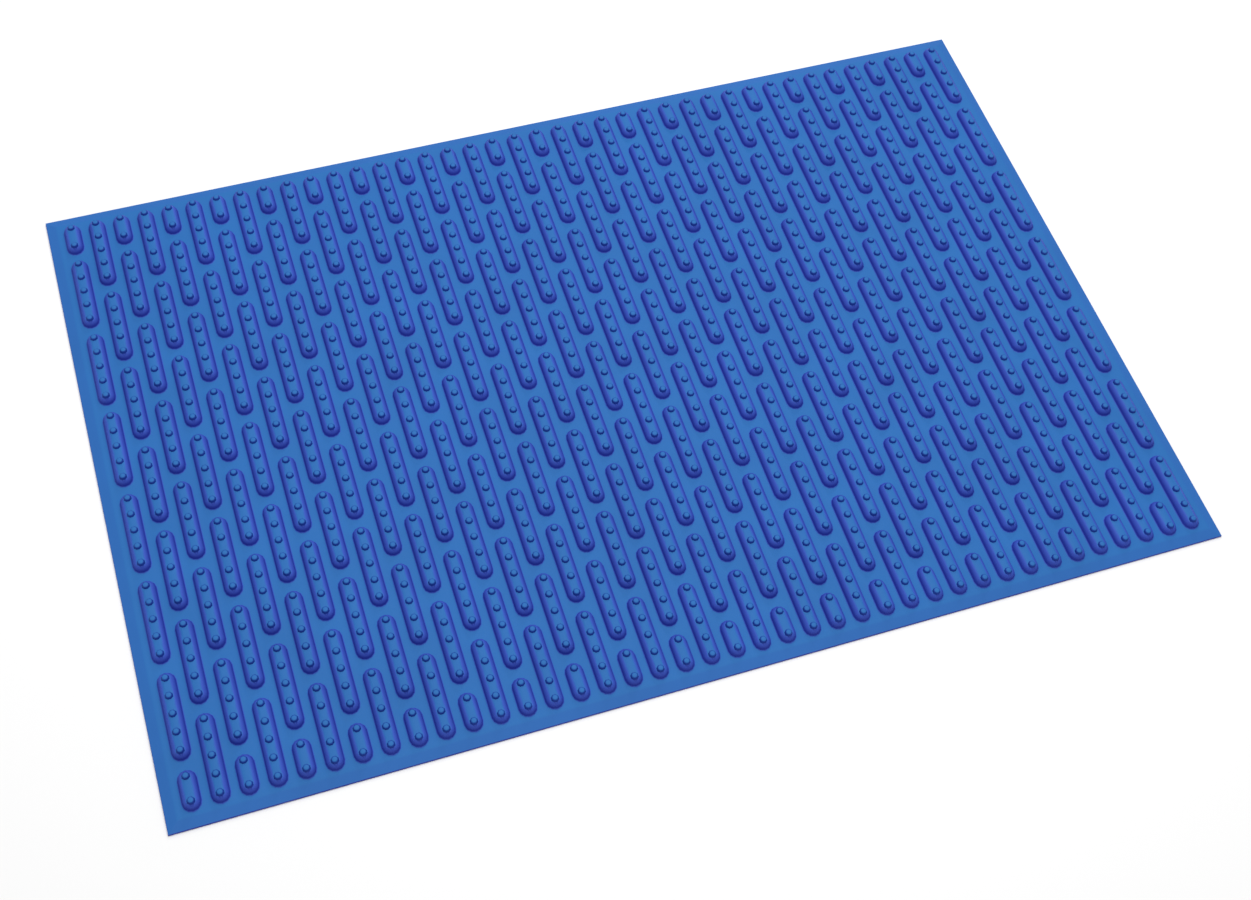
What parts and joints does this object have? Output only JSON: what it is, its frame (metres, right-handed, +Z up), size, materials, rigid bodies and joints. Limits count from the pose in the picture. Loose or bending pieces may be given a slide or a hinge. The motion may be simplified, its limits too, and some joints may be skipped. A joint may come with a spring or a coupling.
{
  "type": "anti-fatigue floor mat",
  "caption": "Rectangular blue cleanroom anti-fatigue mat, moulded in rubber with a bevelled border and staggered columns of raised round-ended bars to stand on.",
  "frame": {"origin": "centre of the flat underside", "axes": "+X along the mat's long side, +Y along the raised bars, +Z up from the floor through the treading side"},
  "size_m": [0.9144, 0.6096, 0.0127],
  "materials": {
    "mat": "matte moulded"
  },
  "bodies": {
    "root": {"mat": "mat"}
  },
  "joints": []
}
